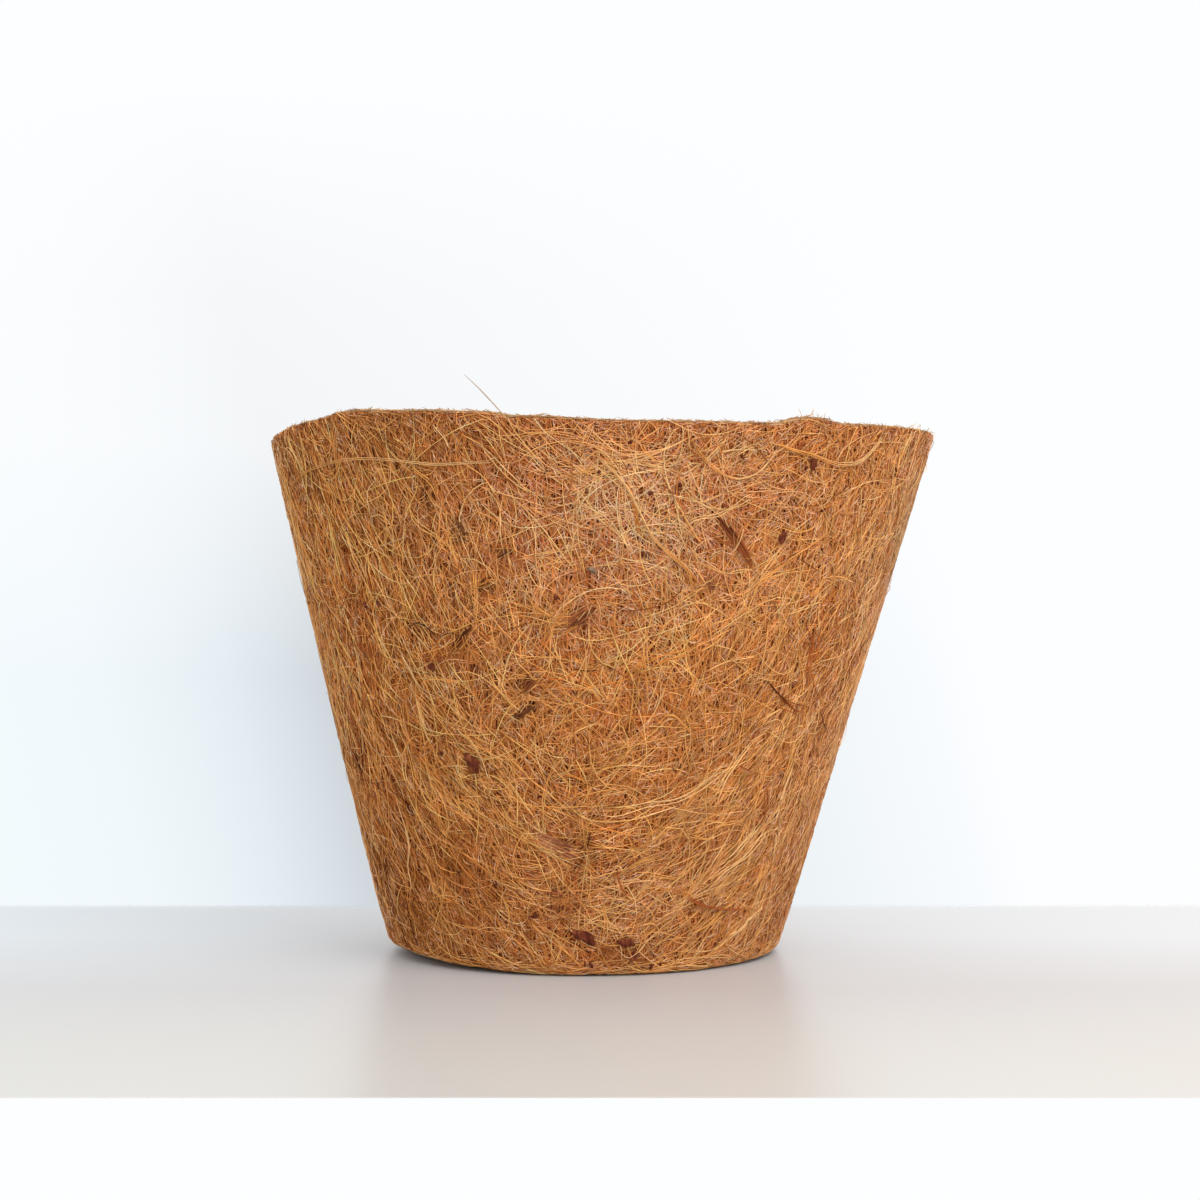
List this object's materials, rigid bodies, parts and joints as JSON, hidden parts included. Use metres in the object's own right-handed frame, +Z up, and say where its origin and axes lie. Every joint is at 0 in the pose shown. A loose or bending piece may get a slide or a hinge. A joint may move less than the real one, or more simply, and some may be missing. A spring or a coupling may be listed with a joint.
{
  "type": "coir pot",
  "caption": "Tapered plant pot pressed from coconut-fibre felt, with a felt disc as its base, open at the top.",
  "frame": {"origin": "centre of the underside, on the ground that the pot stands on", "axes": "+Z up out of the pot's mouth; -Y is the front shown in the picture; +X is to the right seen from the front"},
  "size_m": [0.1507, 0.1493, 0.1271],
  "materials": {
    "coir_felt": "matte golden-brown felt of tangled coconut fibre bound with latex, with dark pores",
    "dark_husk": "dark red-brown husk, satin",
    "red_husk": "reddish husk with fine grain, matte",
    "grey_husk": "greyish husk, matte",
    "golden_fibre": "golden coconut fibre, slightly glossy",
    "orange_fibre": "orange-brown coconut fibre, slightly glossy",
    "dark_fibre": "dark brown coconut fibre, slightly glossy"
  },
  "bodies": {
    "root": {"side_wall": "coir_felt", "base_disc": "coir_felt", "husk_seed_upper": "dark_husk", "husk_seed_foot": "dark_husk", "husk_flake_foot": "dark_husk", "husk_flake_foot_low": "dark_husk", "husk_sheet_lower": "red_husk", "husk_chip_lower": "dark_husk", "leaf_sliver": "dark_husk", "husk_knot_left": "dark_husk", "husk_chip_middle": "red_husk", "husk_chip_small": "dark_husk", "husk_flake_left": "red_husk", "husk_flake_upper": "dark_husk", "husk_sliver_upper": "dark_husk", "husk_sheet_middle": "red_husk", "grey_chip": "grey_husk", "husk_sliver_right": "dark_husk", "husk_flake_right": "red_husk", "husk_chip_right": "dark_husk", "husk_chip_rim": "dark_husk", "stray_fibre": "golden_fibre", "strand_arc_left": "golden_fibre", "strand_arc_right": "golden_fibre", "strand_arc_far_right": "golden_fibre", "strand_bundle_middle": "golden_fibre", "strand_foot_orange": "orange_fibre", "strand_dark_left": "dark_fibre", "strand_dark_right": "dark_fibre"}
  },
  "joints": []
}
